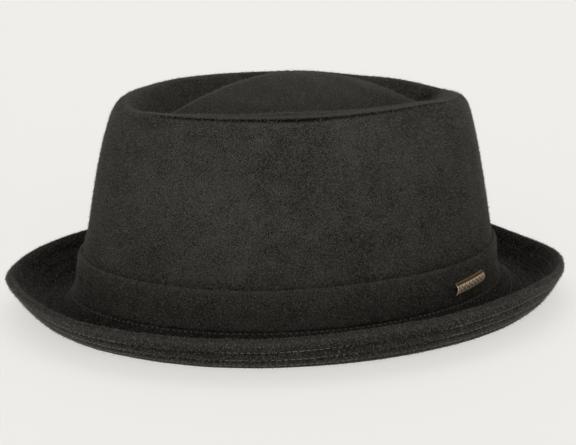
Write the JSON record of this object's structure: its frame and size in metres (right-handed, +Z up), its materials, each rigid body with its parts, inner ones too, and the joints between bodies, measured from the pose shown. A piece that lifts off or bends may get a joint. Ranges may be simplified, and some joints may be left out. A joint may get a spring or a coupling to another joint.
{
  "type": "porkpie hat",
  "caption": "Wool cloth hat with a flat-topped oval crown sunk round a raised diamond, a self-cloth band with a small metal plate, and a short brim curled up all round.",
  "frame": {"origin": "middle of the brim's outline, on the surface that the hat rests on", "axes": "+Z up through the crown, -Y to the hat's front, +X to the wearer's left"},
  "size_m": [0.2524, 0.2788, 0.1116],
  "materials": {
    "crown_cloth": "milled wool flannel, charcoal, matt with a short nap",
    "band_cloth": "milled wool flannel, charcoal, matt with a short nap",
    "brim_cloth": "milled wool flannel, charcoal, rows of stitching",
    "plate_metal": "antique brass, satin, darkened in the recesses"
  },
  "bodies": {
    "root": {"brim_under": "brim_cloth", "brim_upper": "brim_cloth", "crown_side": "crown_cloth", "crown_tip": "crown_cloth", "band": "band_cloth", "badge": "plate_metal"}
  },
  "joints": []
}
